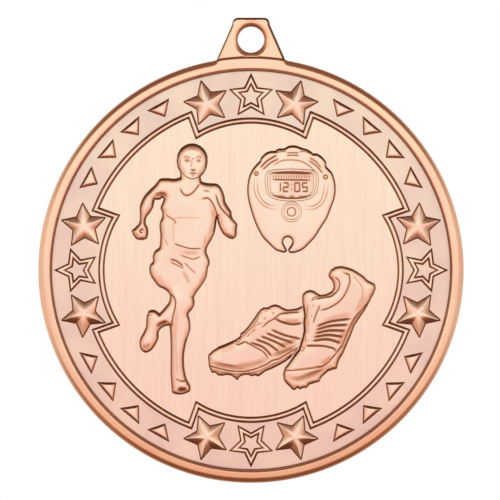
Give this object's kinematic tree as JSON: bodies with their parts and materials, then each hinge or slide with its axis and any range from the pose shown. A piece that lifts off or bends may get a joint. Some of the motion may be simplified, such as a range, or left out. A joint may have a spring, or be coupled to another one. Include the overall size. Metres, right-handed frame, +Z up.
{
  "type": "sports finisher medal",
  "caption": "Round bronze award medal with a ribbon lug, a raised rim and a relief of a runner, a stopwatch and running shoes in a border of stars.",
  "frame": {"origin": "centre of the ribbon hole in the lug, at mid thickness", "axes": "+Z up, from the disc centre to the lug; the face with the relief looks along -Y; +X to the right of a viewer who faces it"},
  "size_m": [0.05, 0.0028, 0.0547],
  "materials": {
    "bronze_field": "copper-bronze plate, brushed in vertical strokes, satin",
    "bronze_rim": "copper-bronze plate, polished on the crest, with dark patina in the groove",
    "bronze_relief": "copper-bronze plate, lightly polished high points, with dark patina at the foot of every step",
    "bronze_recess": "copper-bronze plate, dull, left dark in the recess"
  },
  "bodies": {
    "root": {"medal_disc": "bronze_field", "outer_rim": "bronze_rim", "ribbon_lug": "bronze_rim", "border_moulding": "bronze_relief", "runner_figure": "bronze_relief", "stopwatch_case": "bronze_relief", "stopwatch_display_frame": "bronze_relief", "stopwatch_display": "bronze_recess", "stopwatch_lap_ring": "bronze_relief", "left_shoe_upper": "bronze_relief", "left_shoe_sole": "bronze_relief", "right_shoe_upper": "bronze_relief", "right_shoe_sole": "bronze_relief", "outline_star_1": "bronze_relief", "outline_star_2": "bronze_relief", "outline_star_3": "bronze_relief", "outline_star_4": "bronze_relief", "solid_star_1": "bronze_relief", "solid_star_2": "bronze_relief", "solid_star_3": "bronze_relief", "solid_star_4": "bronze_relief", "solid_star_5": "bronze_relief", "solid_star_6": "bronze_relief", "solid_star_7": "bronze_relief", "solid_star_8": "bronze_relief", "triangle_01": "bronze_relief", "triangle_02": "bronze_relief", "triangle_03": "bronze_relief", "triangle_04": "bronze_relief", "triangle_05": "bronze_relief", "triangle_06": "bronze_relief", "triangle_07": "bronze_relief", "triangle_08": "bronze_relief", "triangle_09": "bronze_relief", "triangle_10": "bronze_relief", "triangle_11": "bronze_relief", "triangle_12": "bronze_relief", "triangle_13": "bronze_relief", "triangle_14": "bronze_relief", "triangle_15": "bronze_relief", "triangle_16": "bronze_relief"}
  },
  "joints": []
}
